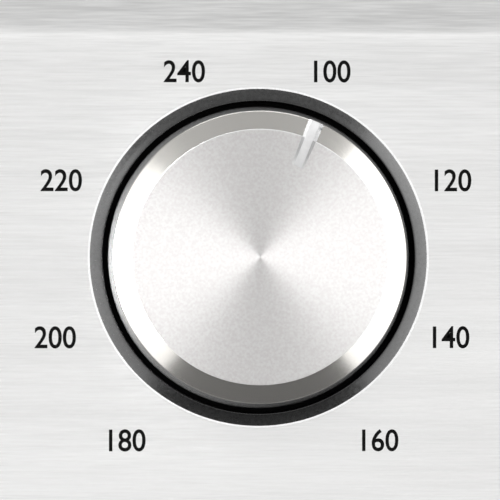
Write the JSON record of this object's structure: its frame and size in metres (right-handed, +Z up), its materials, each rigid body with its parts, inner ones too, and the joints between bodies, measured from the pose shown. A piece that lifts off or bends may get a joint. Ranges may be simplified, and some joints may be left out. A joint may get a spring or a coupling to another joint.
{
  "type": "mini oven",
  "caption": "Counter-top mini oven with a drop-down glass door, sliding rack and crumb tray, and a control column with a large spun-metal function dial.",
  "frame": {"origin": "centre of the footprint, on the table", "axes": "+X to the user's right along the front, +Y from the door to the wall, +Z up"},
  "size_m": [0.406, 0.354, 0.234],
  "materials": {
    "brushed_steel": "brushed",
    "plated_steel": "satin",
    "black_enamel": "satin black enamel",
    "chrome_wire": "polished",
    "spun_aluminium": "spun",
    "cast_zinc": "satin",
    "dark_bezel": "satin dark grey",
    "black_plastic": "moulded",
    "grey_plastic": "moulded",
    "silver_plastic": "satin silver",
    "blue_plastic": "moulded",
    "green_board": "solder resist",
    "rubber": "matt",
    "door_glass": "smoked",
    "display_glass": "dark window",
    "display": "backlit panel",
    "quartz": "frosted",
    "heater_wire": "oxidised",
    "ceramic": "unglazed",
    "brass": "machined",
    "spring_steel": "drawn wire"
  },
  "bodies": {
    "case": {"outer_wrap": "brushed_steel", "base_plate": "plated_steel", "front_frame": "black_enamel", "rear_panel": "plated_steel", "rear_spacers": "black_plastic", "case_screws": "plated_steel", "cord_gland": "black_plastic", "feet": "black_plastic", "foot_pads": "rubber", "oven_liner": "plated_steel", "liner_bracket": "plated_steel", "upper_quartz_tubes": "quartz", "lower_quartz_tubes": "quartz", "heating_coils": "heater_wire", "tube_end_caps": "ceramic", "element_guards": "chrome_wire", "temperature_probe": "plated_steel", "thermal_cutoff": "plated_steel", "heat_shield": "plated_steel", "hinge_brackets": "plated_steel", "hinge_pins": "plated_steel", "lower_trim": "brushed_steel", "control_fascia": "brushed_steel", "display_window": "display_glass", "display_module": "display", "display_holder": "black_plastic", "control_housing": "black_plastic", "control_board": "green_board", "board_chips": "black_plastic", "tact_switches": "black_plastic", "knob_ring": "dark_bezel", "encoder_body": "grey_plastic", "encoder_nut": "brass", "relays": "blue_plastic", "transformer": "grey_plastic", "capacitors": "black_plastic", "power_board": "green_board", "board_standoffs": "brass", "ribbon_cable": "grey_plastic", "terminal_block": "grey_plastic"},
    "door": {"door_frame": "brushed_steel", "door_inner_panel": "black_enamel", "door_glass": "door_glass", "handle_bar": "brushed_steel", "handle_posts": "cast_zinc", "handle_screws": "plated_steel", "hinge_blocks": "cast_zinc", "door_springs": "spring_steel", "rack_magnets": "plated_steel"},
    "rack": {"wire_rack": "chrome_wire"},
    "tray": {"crumb_tray": "plated_steel", "tray_front": "brushed_steel"},
    "knob": {"knob_cap": "spun_aluminium", "knob_core": "grey_plastic", "encoder_shaft": "plated_steel"},
    "temperature_up_button": {"temperature_up_button": "silver_plastic"},
    "temperature_down_button": {"temperature_down_button": "silver_plastic"},
    "time_up_button": {"time_up_button": "silver_plastic"},
    "time_down_button": {"time_down_button": "silver_plastic"},
    "start_button": {"start_button": "silver_plastic"}
  },
  "joints": [
    {"name": "door_hinge", "type": "hinge", "parent": "case", "child": "door", "pos_m": [0, -0.13, 0.06], "axis": [1, 0, 0], "range_deg": [0, 90], "stiffness_Nm_per_rad": 0.35, "springref_deg": -25.78},
    {"name": "rack_slide", "type": "slide", "parent": "case", "child": "rack", "axis": [0, -1, 0], "range_m": [0, 0.063]},
    {"name": "tray_slide", "type": "slide", "parent": "case", "child": "tray", "axis": [0, -1, 0], "range_m": [0, 0.11]},
    {"name": "knob_turn", "type": "hinge", "parent": "case", "child": "knob", "pos_m": [0.154, -0.137, 0.1246], "axis": [0, 1, 0], "continuous": true},
    {"name": "temperature_up_button_press", "type": "slide", "parent": "case", "child": "temperature_up_button", "axis": [0, 1, 0], "range_m": [0, 0.0012], "stiffness_N_per_m": 900, "springref_m": -0.0008},
    {"name": "temperature_down_button_press", "type": "slide", "parent": "case", "child": "temperature_down_button", "axis": [0, 1, 0], "range_m": [0, 0.0012], "stiffness_N_per_m": 900, "springref_m": -0.0008},
    {"name": "time_up_button_press", "type": "slide", "parent": "case", "child": "time_up_button", "axis": [0, 1, 0], "range_m": [0, 0.0012], "stiffness_N_per_m": 900, "springref_m": -0.0008},
    {"name": "time_down_button_press", "type": "slide", "parent": "case", "child": "time_down_button", "axis": [0, 1, 0], "range_m": [0, 0.0012], "stiffness_N_per_m": 900, "springref_m": -0.0008},
    {"name": "start_button_press", "type": "slide", "parent": "case", "child": "start_button", "axis": [0, 1, 0], "range_m": [0, 0.0012], "stiffness_N_per_m": 900, "springref_m": -0.0008}
  ],
  "couplings": [
    {"joint": "rack_slide", "follows": "door_hinge", "m_per_rad": 0.04}
  ]
}
